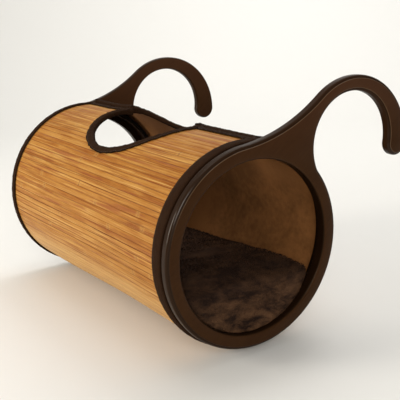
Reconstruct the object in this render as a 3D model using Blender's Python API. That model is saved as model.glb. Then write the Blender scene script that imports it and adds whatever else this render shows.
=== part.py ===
# Hanging cat bed: a tunnel of bamboo slats between two hooked boards, with a loose plush cushion.
# Metres. +X runs along the tunnel, +Y towards the hooks, +Z up. The origin lies midway between
# the two hooks, at the crown of their arches, from which the bed hangs.
import math

import bmesh
import bpy
from mathutils import Vector

# Whole bed
tunnel_length = 0.512
seat_gap = 0.0003  # between two pieces that touch

# Side boards: a ring and a hook cut from one board
board_thickness = 0.015
ring_radius = 0.140
ring_width = 0.021
edge_round = 0.004

# Hooks: the slot lies between the ring's back and the hook's tip
hook_slot = 0.1024
neck_waist_share = 0.715  # narrowest place of the neck, as a share of the ring's radius
neck_foot_angle = math.radians(39.9)  # where the arch leaves the ring, above level
crown_thickness = 0.0214
tip_thickness = 0.0374
hook_radius = 0.104
neck_radius = 0.250

# Slat mat, measured along its outer face from the tunnel's top, + towards the hooks
mat_drop = 0.0005  # outer face of the slats below the ring's edge
slat_count = 120
slat_thickness = 0.002
slat_groove_width = 0.0009
slat_groove_depth = 0.0007
lining_thickness = 0.0012
seam_angle = math.radians(8.5)
rear_lift = 0.005  # the stiff mat's rear edge stands off its circle at the seam
lift_end_angle = math.radians(62)

# Oval opening in the top of the mat
hole_length = 0.202
hole_width = 0.188
hole_shift = -0.004  # its centre, along the tunnel from the middle
hole_angle = math.radians(-0.2)

# Binding tape, folded round every cut edge of the mat
tape_thickness = 0.001
tape_turn_in = 0.011
right_tape_width = 0.017
left_tape_width = 0.004
edge_tape_width = 0.012
hole_tape_width = 0.011
fold_clearance = 0.0004  # between two folds that face each other in the seam
board_clearance = 0.0007  # between a folded end and its board

# Hoops that carry the mat's ends, set into grooves in the boards
hoop_depth = 0.019
hoop_thickness = 0.0035
hoop_seat = 0.005
fastener_thickness = 0.0016  # hook-and-loop tape, both halves together
fastener_width = 0.013

# Closing flaps under the seam
flap_thickness = 0.001
flap_reach = 0.034  # each way from the seam
closing_tape_width = 0.018
flap_end_clearance = 0.002

# Base rails and their dowel pins
rail_width = 0.028
rail_thickness = 0.0088
rail_spread_angle = math.radians(32)
pin_radius = 0.0025
pin_in_board = 0.009
pin_in_rail = 0.015

# Cushion
cushion_end_inset = 0.008  # behind the boards' outer faces
cushion_top_depth = 0.052  # its top edge below the tunnel's axis
cushion_crown = 0.006
cushion_edge_round = 0.008
cushion_sag = 0.010  # how far its top sinks at mid-length
cushion_end_round = 0.018
cushion_end_share = 0.88  # the end section as a share of the full one
cushion_waist = 0.003  # how far the long sides draw in between the corners

# Facets
ring_facets = 64
hook_facets = 10
hoop_facets = 48
hole_facets = 80
cut_rows = 4
hole_tape_steps = 36
seam_halvings = 30
pin_facets = 8
edge_rows = 2
flap_facets = 12
cushion_round_facets = 16
cushion_edge_facets = 5
cushion_top_facets = 10
cushion_steps = 6

cut_overrun = 0.006
cut_dome = 0.030  # the opening's cutter rises to this, above and below the slats

# Sizes that follow
opening_radius = ring_radius - ring_width
mat_radius = ring_radius - mat_drop
mat_thickness = slat_thickness + seat_gap + lining_thickness
turn_in_level = -mat_thickness - seat_gap - tape_thickness
hoop_tape_radius = mat_radius + turn_in_level - seat_gap
hoop_radius = hoop_tape_radius - fastener_thickness - seat_gap
board_inner_x = tunnel_length / 2 - board_thickness
mat_end_x = board_inner_x - board_clearance - tape_thickness - seat_gap
hoop_end_x = board_inner_x - hoop_depth
seam_arc = seam_angle * mat_radius
seam_half = seat_gap + tape_thickness + fold_clearance / 2
mat_girth = 2 * math.pi * mat_radius
rear_edge_arc = seam_arc + seam_half
front_edge_arc = seam_arc - seam_half
hole_arc = hole_angle * mat_radius
rail_radius = opening_radius + rail_thickness / 2  # their flat faces level with the opening

arch_radius = (hook_slot + ring_radius * (1 - neck_waist_share)) / 2
arch_y = ring_radius + hook_slot - arch_radius
foot_y = ring_radius * math.cos(neck_foot_angle)
foot_z = ring_radius * math.sin(neck_foot_angle)
arch_z = foot_z + math.sqrt(arch_radius ** 2 - (arch_y - foot_y) ** 2)
hook_y = arch_y + arch_radius + tip_thickness - hook_radius
hook_z = arch_z + arch_radius + crown_thickness - hook_radius

dark_wood = (58, 40, 27)
plain_wood = (170, 128, 84)
bamboo = (198, 143, 76)
suede = (104, 74, 48)
tape_cloth = (50, 36, 27)
plush = (50, 35, 25)
black_nylon = (30, 27, 25)


def clear_scene():
    for obj in list(bpy.data.objects):
        bpy.data.objects.remove(obj, do_unlink=True)


def linear(level):
    level /= 255
    return level / 12.92 if level <= 0.04045 else ((level + 0.055) / 1.055) ** 2.4


def give_material(obj, colour, roughness, metallic=0.0):
    material = bpy.data.materials.new(obj.name)
    material.use_nodes = True
    shader = material.node_tree.nodes["Principled BSDF"]
    shader.inputs["Base Color"].default_value = (*[linear(c) for c in colour], 1)
    shader.inputs["Roughness"].default_value = roughness
    shader.inputs["Metallic"].default_value = metallic
    obj.data.materials.append(material)


def add_object(name, bm, smooth_angle=None):
    bmesh.ops.recalc_face_normals(bm, faces=bm.faces)
    mesh = bpy.data.meshes.new(name)
    bm.to_mesh(mesh)
    bm.free()
    obj = bpy.data.objects.new(name, mesh)
    bpy.context.collection.objects.link(obj)
    obj.parent = axis_empty
    if smooth_angle is not None:
        mesh.shade_smooth()
        mesh.set_sharp_from_angle(angle=smooth_angle)
    return obj


def skin_rows(rows, closed=False):
    # Joins rows of points, each a closed outline, into one skin; an open stack is capped at its ends.
    bm = bmesh.new()
    loops = [[bm.verts.new(point) for point in row] for row in rows]
    pairs = list(zip(loops, loops[1:]))
    if closed:
        pairs.append((loops[-1], loops[0]))
    for low, high in pairs:
        for i in range(len(low)):
            j = (i + 1) % len(low)
            bm.faces.new((low[i], low[j], high[j], high[i]))
    if not closed:
        bm.faces.new(loops[0])
        bm.faces.new(loops[-1])
    return bm


def arc_points(centre, radius, start, end, count):
    # count steps along an arc, without its last point, which the next arc brings.
    return [
        (centre[0] + radius * math.cos(start + (end - start) * i / count),
         centre[1] + radius * math.sin(start + (end - start) * i / count))
        for i in range(count)
    ]


def meet(centre_a, radius_a, centre_b, radius_b, side):
    # Where two circles cross; side picks the crossing left (1) or right (-1) of the line a to b.
    dy, dz = centre_b[0] - centre_a[0], centre_b[1] - centre_a[1]
    apart = math.hypot(dy, dz)
    along = (apart ** 2 + radius_a ** 2 - radius_b ** 2) / (2 * apart)
    across = side * math.sqrt(max(radius_a ** 2 - along ** 2, 0))
    return (centre_a[0] + (along * dy - across * dz) / apart,
            centre_a[1] + (along * dz + across * dy) / apart)


def direction(start, end):
    return math.atan2(end[1] - start[1], end[0] - start[0])


def board_outline(inset):
    # Ring, arch, tip, hook and neck as one run of arcs in Y and Z, moved inwards by inset.
    ring, arch, hook = (0, 0), (arch_y, arch_z), (hook_y, hook_z)
    ring_r, arch_r = ring_radius - inset, arch_radius + inset
    hook_r, neck_r = hook_radius - inset, neck_radius + inset
    neck = meet(ring, ring_r + neck_r, hook, hook_r + neck_r, 1)
    foot = meet(ring, ring_r, arch, arch_r, 1)
    tip_inner = arch_y + math.sqrt(arch_r ** 2 - (hook_z - arch_z) ** 2)
    tip_outer = hook_y + hook_r
    tip = ((tip_inner + tip_outer) / 2, hook_z)
    ring_start = direction(ring, neck)
    ring_end = direction(ring, foot) + 2 * math.pi
    arch_start = direction(arch, foot) + 2 * math.pi
    arch_end = direction(arch, (tip_inner, hook_z))
    neck_start = direction(neck, hook) + 2 * math.pi
    neck_end = direction(neck, ring) + 2 * math.pi
    points = arc_points(ring, ring_r, ring_start, ring_end, ring_facets)
    points += arc_points(arch, arch_r, arch_start, arch_end, hook_facets * 2)
    points += arc_points(tip, tip_outer - tip[0], -math.pi, 0, hook_facets // 2)
    points += arc_points(hook, hook_r, 0, direction(hook, neck), hook_facets)
    points += arc_points(neck, neck_r, neck_start, neck_end, hook_facets // 2)
    return points


def rounded_rows():
    # Places through the board's thickness, with how far the rounded edge is inset at each.
    rows = []
    for i in range(edge_rows + 1):
        turn = math.pi / 2 * i / edge_rows
        rows.append((edge_round * (1 - math.cos(turn)), edge_round * (1 - math.sin(turn))))
    return rows, [(board_thickness - place, inset) for place, inset in reversed(rows)]


def side_board(name, side):
    # Rounded along its outline on both faces, and round the opening on the outer face.
    bm = bmesh.new()
    outer_rows, hole_rows = [], []
    inner_half, outer_half = rounded_rows()
    for place, inset in inner_half + outer_half:
        x = side * (board_inner_x + place)
        outer_rows.append([bm.verts.new((x, y, z)) for y, z in board_outline(inset)])
    for place, inset in [(0, 0)] + outer_half:
        x = side * (board_inner_x + place)
        rim = arc_points((0, 0), opening_radius + inset, 0, 2 * math.pi, ring_facets)
        hole_rows.append([bm.verts.new((x, y, z)) for y, z in rim])
    for rows in (outer_rows, hole_rows):
        for low, high in zip(rows, rows[1:]):
            for i in range(len(low)):
                j = (i + 1) % len(low)
                bm.faces.new((low[i], low[j], high[j], high[i]))
    for row in (0, -1):
        rim_edges = []
        for loop in (outer_rows[row], hole_rows[row]):
            for i, vert in enumerate(loop):
                rim_edges.append(bm.edges.get((vert, loop[(i + 1) % len(loop)])))
        bmesh.ops.triangle_fill(bm, use_beauty=True, edges=rim_edges)
    board = add_object(name, bm, smooth_angle=math.radians(50))
    give_material(board, dark_wood, 0.38)
    return board


def ease(share):
    return share * share * (3 - 2 * share)


def rear_rise(angle):
    # How far the mat's rear edge, and what is sewn to it, stands off the circle.
    share = (lift_end_angle - angle) / (lift_end_angle - seam_angle)
    return rear_lift * ease(min(1, max(0, share)))


def mat_rise(angle):
    # The same for the whole mat, whose front edge lies on the circle.
    angle = (angle + math.pi) % (2 * math.pi) - math.pi
    return rear_rise(angle) if angle > seam_angle else 0


def flap_rise(angle):
    # A closing flap leaves the front edge level and meets the raised rear part at its sewn end.
    share = (angle - seam_angle) * mat_radius / flap_reach
    return rear_rise(angle) * ease(min(1, max(0, share)))


def no_rise(angle):
    return 0


def wrap(x, arc, height, rise):
    # A place on the mat: along the tunnel, round it from the top, and above the slats' faces.
    angle = arc / mat_radius
    radius = mat_radius + height + rise(angle)
    return Vector((x, radius * math.sin(angle), radius * math.cos(angle)))


def wall_arcs():
    # Places round the mat, from its rear edge to its front edge: every second joint of the slats.
    start, end = rear_edge_arc, mat_girth + front_edge_arc
    joints = sorted({*range(0, slat_count, 2), slat_count})
    return [start + (end - start) * i / slat_count for i in joints]


def even_arcs(start, end, steps):
    return [start + (end - start) * i / steps for i in range(steps + 1)]


def strip(name, x_range, arcs, levels, rise):
    # A band of the tunnel's wall between two heights.
    low, high = levels
    outline = [(arc, high) for arc in arcs] + [(arc, low) for arc in reversed(arcs)]
    rows = [[wrap(x, arc, level, rise) for arc, level in outline] for x in x_range]
    return add_object(name, skin_rows(rows), math.radians(40))


def slat_mat():
    # One flat face for each slat, with a narrow groove between neighbours.
    start, end = rear_edge_arc, mat_girth + front_edge_arc
    pitch = (end - start) / slat_count
    outline = [(start, 0)]
    for i in range(1, slat_count):
        middle = start + i * pitch
        outline.append((middle - slat_groove_width / 2, 0))
        outline.append((middle, -slat_groove_depth))
        outline.append((middle + slat_groove_width / 2, 0))
    outline.append((end, 0))
    outline += [(end - i * pitch, -slat_thickness) for i in range(slat_count + 1)]
    rows = [[wrap(x, *place, mat_rise) for place in outline] for x in (-mat_end_x, mat_end_x)]
    mat = add_object("slat_mat", skin_rows(rows))
    give_material(mat, bamboo, 0.45)
    return mat


def hole_point(turn, outwards):
    # A point beside the oval opening's edge, and how far out from that edge it lies.
    half_x, half_arc = hole_length / 2, hole_width / 2
    along, across = math.cos(turn) / half_x, math.sin(turn) / half_arc
    size = math.hypot(along, across)
    x = hole_shift + half_x * math.cos(turn) + outwards * along / size
    arc = hole_arc + half_arc * math.sin(turn) + outwards * across / size
    return x, arc


def hole_cutter():
    # A wall through the mat in several rows, and a fan to a point above and below.
    bm = bmesh.new()
    rims = []
    wall_height = rear_lift + 2 * cut_overrun
    for row in range(cut_rows + 1):
        height = -cut_overrun + wall_height * row / cut_rows
        rim = []
        for i in range(hole_facets):
            x, arc = hole_point(2 * math.pi * i / hole_facets, 0)
            rim.append(bm.verts.new(wrap(x, arc, height, no_rise)))
        rims.append(rim)
    tips = [bm.verts.new(wrap(hole_shift, hole_arc, height, no_rise))
            for height in (-cut_dome, cut_dome)]
    for i in range(hole_facets):
        j = (i + 1) % hole_facets
        for low, high in zip(rims, rims[1:]):
            bm.faces.new((low[i], low[j], high[j], high[i]))
        for rim, tip in zip((rims[0], rims[-1]), tips):
            bm.faces.new((rim[i], rim[j], tip))
    return hide_cutter(add_object("hole_cutter", bm))


def hide_cutter(obj):
    obj.hide_render = True
    obj.display_type = "WIRE"
    return obj


def cut(obj, cutter):
    boolean = obj.modifiers.new(cutter.name, "BOOLEAN")
    boolean.operation = "DIFFERENCE"
    boolean.solver = "EXACT"
    boolean.object = cutter


def tape_section(outer_width, turn_in):
    # Tape folded round the mat's edge: how far past the edge, and the height above the slats.
    top, bottom = seat_gap, -mat_thickness - seat_gap
    near, far = seat_gap, seat_gap + tape_thickness
    corner = tape_thickness / 2
    return [
        (-outer_width, top + tape_thickness), (-outer_width, top), (near, top),
        (near, bottom), (-turn_in, bottom), (-turn_in, bottom - tape_thickness),
        (far, bottom - tape_thickness), (far, top + corner), (far - corner, top + tape_thickness),
    ]


def end_tape(name, side, outer_width):
    section = tape_section(outer_width, tape_turn_in)
    rows = [
        [wrap(side * (mat_end_x + past), arc, level, mat_rise) for past, level in section]
        for arc in wall_arcs()
    ]
    tape = add_object(name, skin_rows(rows), math.radians(50))
    give_material(tape, tape_cloth, 0.9)


def edge_tape(name, side, edge, outer_width):
    # Tape on a long edge of the mat, between the end tape and the opening's tape.
    edge_arc, past_sign, rise = edge
    section = tape_section(edge_tape_width, tape_turn_in)
    inner_x = hole_length / 2 + hole_tape_width + seat_gap
    outer_x = mat_end_x - max(outer_width, tape_turn_in) - seat_gap
    rows = [
        [wrap(side * x, edge_arc + past_sign * past, level, rise) for past, level in section]
        for x in (inner_x + side * hole_shift, outer_x)
    ]
    tape = add_object(name, skin_rows(rows), math.radians(50))
    give_material(tape, tape_cloth, 0.9)


def seam_turn(outwards, arc):
    # Where a line beside the oval's edge comes to the seam, by halving.
    low, high = 0, math.pi / 2
    for _ in range(seam_halvings):
        middle = (low + high) / 2
        if hole_point(middle, outwards)[1] < arc:
            low = middle
        else:
            high = middle
    return low


def hole_tape(name, front, rise):
    # One of the two tapes round the oval; both are cut off along the seam.
    section = tape_section(hole_tape_width, tape_turn_in)
    arc = seam_arc - fold_clearance / 2 if front else seam_arc + fold_clearance / 2
    rows = []
    for i in range(hole_tape_steps + 1):
        row = []
        for past, level in section:
            start = seam_turn(-past, arc)
            end = math.pi - start
            if front:
                start, end = end, 2 * math.pi + start
            turn = start + (end - start) * i / hole_tape_steps
            row.append(wrap(*hole_point(turn, -past), level, rise))
        rows.append(row)
    tape = add_object(name, skin_rows(rows), math.radians(50))
    give_material(tape, tape_cloth, 0.9)


def turned(name, profile, facets, place, side):
    # Turns a profile of (distance along X, radius) round an axis parallel to the tunnel.
    rows = []
    for along, radius in profile:
        half_step = math.pi / facets
        rim = arc_points(place, radius, half_step, half_step + 2 * math.pi, facets)
        rows.append([(side * along, y, z) for y, z in rim])
    return add_object(name, skin_rows(rows), math.radians(40))


def polar(radius, angle):
    # A place in Y and Z, with the angle counted from the top towards the hooks.
    return radius * math.sin(angle), radius * math.cos(angle)


def band(name, side, x_range, radii):
    # A hoop of rectangular section round the tunnel's axis.
    corners = [(x, radius) for x, radius in zip(
        (x_range[0], x_range[0], x_range[1], x_range[1]), (*radii, *reversed(radii)))]
    rows = []
    for i in range(hoop_facets):
        angle = 2 * math.pi * i / hoop_facets
        rows.append([(side * x, *polar(radius, angle)) for x, radius in corners])
    return add_object(name, skin_rows(rows, closed=True), math.radians(40))


def hoop(label, side, board):
    # The hoop stands in a groove turned into the board's inner face.
    inner = hoop_radius - hoop_thickness
    end_x = board_inner_x + hoop_seat
    ring = band(f"hoop_{label}", side, (hoop_end_x, end_x), (inner, hoop_radius))
    give_material(ring, dark_wood, 0.5)
    groove_x = (board_inner_x - cut_overrun, end_x + seat_gap)
    groove_radii = (inner - seat_gap, hoop_radius + seat_gap)
    cut(board, hide_cutter(band(f"groove_{label}", side, groove_x, groove_radii)))


def hoop_tape(label, side):
    start_x = hoop_end_x + (hoop_depth - fastener_width) / 2
    x_range = (start_x, start_x + fastener_width)
    radii = (hoop_tape_radius - fastener_thickness, hoop_tape_radius)
    tape = band(f"hoop_tape_{label}", side, x_range, radii)
    give_material(tape, black_nylon, 0.95)


def pin_profile(grown):
    start = board_inner_x - seat_gap - pin_in_rail - grown
    end = board_inner_x + pin_in_board + grown
    return [(start, pin_radius + grown), (end, pin_radius + grown)]


def pin_rails(label, side, board, rails):
    for rail, angle in rails:
        place = polar(rail_radius, angle)
        name = f"{rail.name}_pin_{label}"
        pin = turned(name, pin_profile(0), pin_facets, place, side)
        give_material(pin, plain_wood, 0.6)
        hole = turned(f"{name}_hole", pin_profile(seat_gap), pin_facets, place, side)
        for piece in (board, rail):
            cut(piece, hide_cutter(hole))


def base_rail(name, angle):
    # A flat rail between the boards, square to the tunnel's radius.
    half_width, half_thickness = rail_width / 2, rail_thickness / 2
    centre = Vector(polar(rail_radius, angle))
    outwards = centre.normalized()
    across = Vector((outwards.y, -outwards.x))
    corner = half_thickness / 2
    section = [
        (-half_width, corner), (-half_width + corner, half_thickness),
        (half_width - corner, half_thickness), (half_width, corner),
        (half_width, -corner), (half_width - corner, -half_thickness),
        (-half_width + corner, -half_thickness), (-half_width, -corner),
    ]
    rows = []
    for x in (seat_gap - board_inner_x, board_inner_x - seat_gap):
        rows.append([(x, *(centre + across * u + outwards * v)) for u, v in section])
    rail = add_object(name, skin_rows(rows))
    give_material(rail, plain_wood, 0.6)
    return rail


def cushion_section(scale, waist, sag):
    # Underside round like the boards' opening, rounded long edges and a crowned top.
    radius = opening_radius - seat_gap
    corner = cushion_edge_round
    top_z = -cushion_top_depth - sag
    corner_z = top_z - corner
    corner_y = math.sqrt((radius - corner) ** 2 - corner_z ** 2)
    low = math.atan2(corner_z, corner_y)
    points = arc_points((0, 0), radius, -math.pi - low, low, cushion_round_facets)
    points += arc_points((corner_y, corner_z), corner, low, math.pi / 2, cushion_edge_facets)
    for i in range(cushion_top_facets):
        share = 1 - 2 * i / cushion_top_facets
        points.append((corner_y * share, top_z + cushion_crown * (1 - share ** 2)))
    points += arc_points((-corner_y, corner_z), corner, math.pi / 2, math.pi - low, cushion_edge_facets)
    middle = -(radius + cushion_top_depth) / 2
    drawn = 1 - waist / (corner_y + corner)
    return [(y * scale * drawn, middle + (z - middle) * scale) for y, z in points]


def cushion():
    half = tunnel_length / 2 - cushion_end_inset
    full = half - cushion_end_round
    stations = []
    for i in range(cushion_steps):
        turn = math.pi / 2 * i / cushion_steps
        grown = math.sin(turn) * (1 - cushion_end_share) + cushion_end_share
        stations.append((-full - cushion_end_round * math.cos(turn), grown))
    stations += [(-full + 2 * full * i / cushion_steps, 1) for i in range(cushion_steps + 1)]
    stations += [(-x, scale) for x, scale in reversed(stations[:cushion_steps])]
    rows = []
    for x, scale in stations:
        bow = 1 - min(1, abs(x) / full) ** 2
        section = cushion_section(scale, cushion_waist * bow, cushion_sag * bow)
        rows.append([(x, y, z) for y, z in section])
    pad = add_object("cushion", skin_rows(rows), math.radians(60))
    give_material(pad, plush, 0.95)


def mat_and_lining():
    mat = slat_mat()
    levels = (-mat_thickness, -slat_thickness - seat_gap)
    lining = strip("lining", (-mat_end_x, mat_end_x), wall_arcs(), levels, mat_rise)
    give_material(lining, suede, 0.9)
    cutter = hole_cutter()
    cut(mat, cutter)
    cut(lining, cutter)


def tapes():
    end_tape("end_tape_left", -1, left_tape_width)
    end_tape("end_tape_right", 1, right_tape_width)
    for label, side, width in (("left", -1, left_tape_width), ("right", 1, right_tape_width)):
        edge_tape(f"front_edge_tape_{label}", side, (front_edge_arc, 1, no_rise), width)
        edge_tape(f"rear_edge_tape_{label}", side, (rear_edge_arc, -1, rear_rise), width)
    hole_tape("hole_tape_rear", False, rear_rise)
    hole_tape("hole_tape_front", True, no_rise)


def closing_flaps():
    inner_x = hole_length / 2 + max(hole_tape_width, tape_turn_in) + flap_end_clearance
    outer_x = hoop_end_x - flap_end_clearance
    flap_top = turn_in_level - seat_gap
    tape_end = front_edge_arc - tape_turn_in - seat_gap
    for label, side in (("left", -1), ("right", 1)):
        x_range = sorted((side * inner_x + hole_shift, side * outer_x))
        arcs = even_arcs(seam_arc - flap_reach, seam_arc + flap_reach, flap_facets)
        levels = (flap_top - flap_thickness, flap_top)
        flap = strip(f"closing_flap_{label}", x_range, arcs, levels, flap_rise)
        give_material(flap, tape_cloth, 0.9)
        arcs = even_arcs(tape_end - closing_tape_width, tape_end, flap_facets // 4)
        levels = (turn_in_level, -mat_thickness - seat_gap)
        tape = strip(f"closing_tape_{label}", x_range, arcs, levels, no_rise)
        give_material(tape, black_nylon, 0.95)


clear_scene()
axis_empty = bpy.data.objects.new("tunnel_axis", None)
axis_empty.location = (0, -arch_y, -arch_z - arch_radius)
bpy.context.collection.objects.link(axis_empty)

board_left = side_board("side_board_left", -1)
board_right = side_board("side_board_right", 1)
rail_places = []
for label, turn in (("rear", -1), ("middle", 0), ("front", 1)):
    angle = math.pi + turn * rail_spread_angle
    rail_places.append((base_rail(f"base_rail_{label}", angle), angle))
for label, side, board in (("left", -1, board_left), ("right", 1, board_right)):
    hoop(label, side, board)
    hoop_tape(label, side)
    pin_rails(label, side, board, rail_places)
mat_and_lining()
tapes()
closing_flaps()
cushion()
bpy.context.view_layer.update()
print(f"ring centre at y {-arch_y:.4f}, z {-arch_z - arch_radius:.4f}; arch radius {arch_radius:.4f}")
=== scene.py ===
import math
import random

import bmesh
import bpy
from mathutils import Matrix, Vector, noise


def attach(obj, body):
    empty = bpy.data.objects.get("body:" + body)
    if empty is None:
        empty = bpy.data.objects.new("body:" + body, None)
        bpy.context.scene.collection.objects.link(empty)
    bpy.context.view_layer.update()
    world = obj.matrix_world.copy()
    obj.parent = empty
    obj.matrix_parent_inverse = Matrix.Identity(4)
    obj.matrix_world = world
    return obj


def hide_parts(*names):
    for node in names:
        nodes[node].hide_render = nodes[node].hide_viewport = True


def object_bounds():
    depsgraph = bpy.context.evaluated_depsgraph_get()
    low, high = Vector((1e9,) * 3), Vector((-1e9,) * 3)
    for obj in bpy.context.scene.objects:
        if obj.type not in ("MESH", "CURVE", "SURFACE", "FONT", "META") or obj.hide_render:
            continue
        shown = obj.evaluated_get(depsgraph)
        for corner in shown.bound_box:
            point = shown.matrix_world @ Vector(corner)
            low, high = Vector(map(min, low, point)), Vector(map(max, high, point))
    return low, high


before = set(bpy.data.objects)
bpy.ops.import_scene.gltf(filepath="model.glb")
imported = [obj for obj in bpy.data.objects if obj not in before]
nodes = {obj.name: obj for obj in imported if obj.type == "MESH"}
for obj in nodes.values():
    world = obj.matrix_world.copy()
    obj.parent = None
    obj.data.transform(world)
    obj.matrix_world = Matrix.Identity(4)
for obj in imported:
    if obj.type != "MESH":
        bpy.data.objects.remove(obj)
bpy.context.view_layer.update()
print("frame loaded", len(nodes), "nodes")

# The tunnel's axis runs along X through this point of the YZ plane.
axisY, axisZ = -0.17125, -0.192345
# Each board lies between these two distances from the tunnel's middle.
boardInner, boardOuter = 0.241, 0.256
ends = (("left", -1), ("right", 1))


def steps(count):
    return [i / count for i in range(count + 1)]


def quarter(count):
    # The angles of a quarter turn, in equal steps
    return [math.pi / 2 * i / count for i in range(count + 1)]


def ringPoint(x, angle, radius):
    return Vector((x, axisY + radius * math.sin(angle), axisZ + radius * math.cos(angle)))


def ease(share):
    share = min(1, max(0, share))
    return share * share * (3 - 2 * share)


# The mat's outer face. Angles and arcs start at the tunnel's top and grow towards the hooks.
matSettings = {
    "radius": 0.1395, "endX": 0.239, "slats": 106, "seam": math.radians(8.5), "seamHalf": 0.0015,
    "lift": 0.005, "liftEnd": math.radians(62), "cornerLift": 0.003, "cornerX": -0.115,
    "cornerReach": 0.050, "dip": 0.0068, "dipX": -0.061, "dipReach": 0.062,
    "rightDrop": 0.0030, "dropReach": 0.07, "flare": 0.0045, "droop": 0.0024,
    "flareFrom": 0.08, "flareTo": -0.22, "frontLift": 0.0022, "frontReach": 0.5,
}
matGirth = 2 * math.pi * matSettings["radius"]
slatPitch = (matGirth - 2 * matSettings["seamHalf"]) / matSettings["slats"]
seamArc = matSettings["seam"] * matSettings["radius"]
rearEdge = seamArc + matSettings["seamHalf"]
frontEdge = seamArc - matSettings["seamHalf"]


def flare(x, angle):
    # The mat stands wider at its left end, and droops there.
    m = matSettings
    end = ease((m["flareFrom"] - x) / (m["flareFrom"] - m["flareTo"]))
    return (m["flare"] - m["droop"] * math.cos(angle)) * end


def nearCorner(x):
    m = matSettings
    return ease(1 - abs(x - m["cornerX"]) / m["cornerReach"])


def rearRise(x, angle):
    # The mat's rear edge stands off its circle, most of all at the oval's left corner.
    m = matSettings
    dip = m["dip"] * ease(1 - abs(x - m["dipX"]) / m["dipReach"])
    dip += m["rightDrop"] * ease(x / m["dropReach"])
    lift = m["lift"] + m["cornerLift"] * nearCorner(x) - dip
    return flare(x, angle) + lift * ease((m["liftEnd"] - angle) / (m["liftEnd"] - m["seam"]))


def frontRise(x, angle):
    m = matSettings
    near = ease(1 - (m["seam"] - angle) / m["frontReach"])
    return flare(x, angle) + m["frontLift"] * nearCorner(x) * near


def matRise(x, angle):
    angle = (angle + math.pi) % (2 * math.pi) - math.pi
    return rearRise(x, angle) if angle > matSettings["seam"] else frontRise(x, angle)


def matPoint(x, arc, level, rise):
    angle = arc / matSettings["radius"]
    return ringPoint(x, angle, matSettings["radius"] + level + rise(x, angle))


def fromTop(arc):
    return arc - matGirth if arc > matGirth / 2 else arc


# The oval opening in the mat's top
holeSettings = {
    "halfX": 0.101, "halfArc": 0.094, "shift": -0.004, "rearShort": 0.011,
    "arc": math.radians(-0.2) * matSettings["radius"],
}


def holeHalf(right, rear):
    # Half the oval's length: the mat's rear part reaches further over its right end.
    return holeSettings["halfX"] - (holeSettings["rearShort"] if right and rear else 0)


def holePoint(turn, outwards, rear):
    h = holeSettings
    halfX = holeHalf(math.cos(turn) > 0, rear)
    along, across = math.cos(turn) / halfX, math.sin(turn) / h["halfArc"]
    size = math.hypot(along, across)
    return (h["shift"] + halfX * math.cos(turn) + outwards * along / size,
            h["arc"] + h["halfArc"] * math.sin(turn) + outwards * across / size)


def holeDepth(x, arc):
    # Below 1 inside the oval opening, above 1 outside it.
    h = holeSettings
    halfX = holeHalf(x > h["shift"], arc > seamArc)
    return math.hypot((x - h["shift"]) / halfX, (arc - h["arc"]) / h["halfArc"])


# Node values. Ordinary arithmetic on them adds nodes, so that a material reads as a formula.
class Signal:
    tree = None

    def __init__(self, socket):
        self.socket = socket


def feed(sockets, values):
    # Gives sockets, by name or number, a value each or the output of another node.
    pairs = values.items() if isinstance(values, dict) else enumerate(values)
    for key, value in pairs:
        if isinstance(value, Signal):
            Signal.tree.links.new(value.socket, sockets[key])
        else:
            sockets[key].default_value = value


def addNode(kind, values=(), output=0, **settings):
    node = Signal.tree.nodes.new(kind)
    for key, value in settings.items():
        setattr(node, key, value)
    feed(node.inputs, values)
    return Signal(node.outputs[output])


def outputs(signal):
    return [Signal(output) for output in signal.socket.node.outputs]


def arithmetic(operation, *values):
    return addNode("ShaderNodeMath", values, operation=operation)


def operator(operation, swapped=False):
    if swapped:
        return lambda second, first: arithmetic(operation, first, second)
    return lambda first, second: arithmetic(operation, first, second)


for sign, operation in (("add", "ADD"), ("sub", "SUBTRACT"), ("mul", "MULTIPLY")):
    setattr(Signal, f"__{sign}__", operator(operation))
    setattr(Signal, f"__r{sign}__", operator(operation, swapped=True))
Signal.__truediv__ = operator("DIVIDE")
Signal.__pow__ = operator("POWER")
Signal.__gt__ = operator("GREATER_THAN")


def clamped(value):
    return addNode("ShaderNodeClamp", {"Value": value})


def band(value, low, high):
    # 0 below low, 1 above high, smooth between.
    return addNode("ShaderNodeMapRange", {"Value": value, "From Min": low, "From Max": high},
                   interpolation_type="SMOOTHSTEP")


def vector(x, y, z):
    return addNode("ShaderNodeCombineXYZ", (x, y, z))


def split(value):
    return outputs(addNode("ShaderNodeSeparateXYZ", [value]))


def fromAxis(y, z):
    return arithmetic("SQRT", (y - axisY) ** 2.0 + (z - axisZ) ** 2.0)


def noiseAt(place, scale, detail=4.0, rough=0.55, bend=0.0):
    return addNode("ShaderNodeTexNoise", {
        "Vector": place, "Scale": scale, "Detail": detail, "Roughness": rough, "Distortion": bend})


def chance(number):
    return addNode("ShaderNodeTexWhiteNoise", {"W": number}, noise_dimensions="1D")


def blendColours(share, first, second):
    values = {0: share, 6: first, 7: second}
    return addNode("ShaderNodeMix", values, output=2, data_type="RGBA")


def placeIn(space):
    return addNode("ShaderNodeTexCoord", output=space)


def colour(red, green, blue):
    # From the usual 0 to 255 levels to the linear values that a shader takes.
    levels = [c / 255 for c in (red, green, blue)]
    linear = [c / 12.92 if c <= 0.04045 else ((c + 0.055) / 1.055) ** 2.4 for c in levels]
    return (*linear, 1)


def painted(levels, base, **shares):
    # Named colours laid over a base one, each by its own share.
    paint = colour(*levels[base])
    for name, share in shares.items():
        paint = blendColours(share, paint, colour(*levels[name]))
    return paint


def bumped(height, depth, strength):
    return addNode("ShaderNodeBump", {"Strength": strength, "Distance": depth, "Height": height})


def materialNamed(name):
    # Makes a material of the function below it, which gives the shader's inputs by name.
    def build(surface):
        made = bpy.data.materials.new(name)
        made.use_nodes = True
        Signal.tree = made.node_tree
        feed(made.node_tree.nodes["Principled BSDF"].inputs, surface())
        return made
    return build


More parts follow.
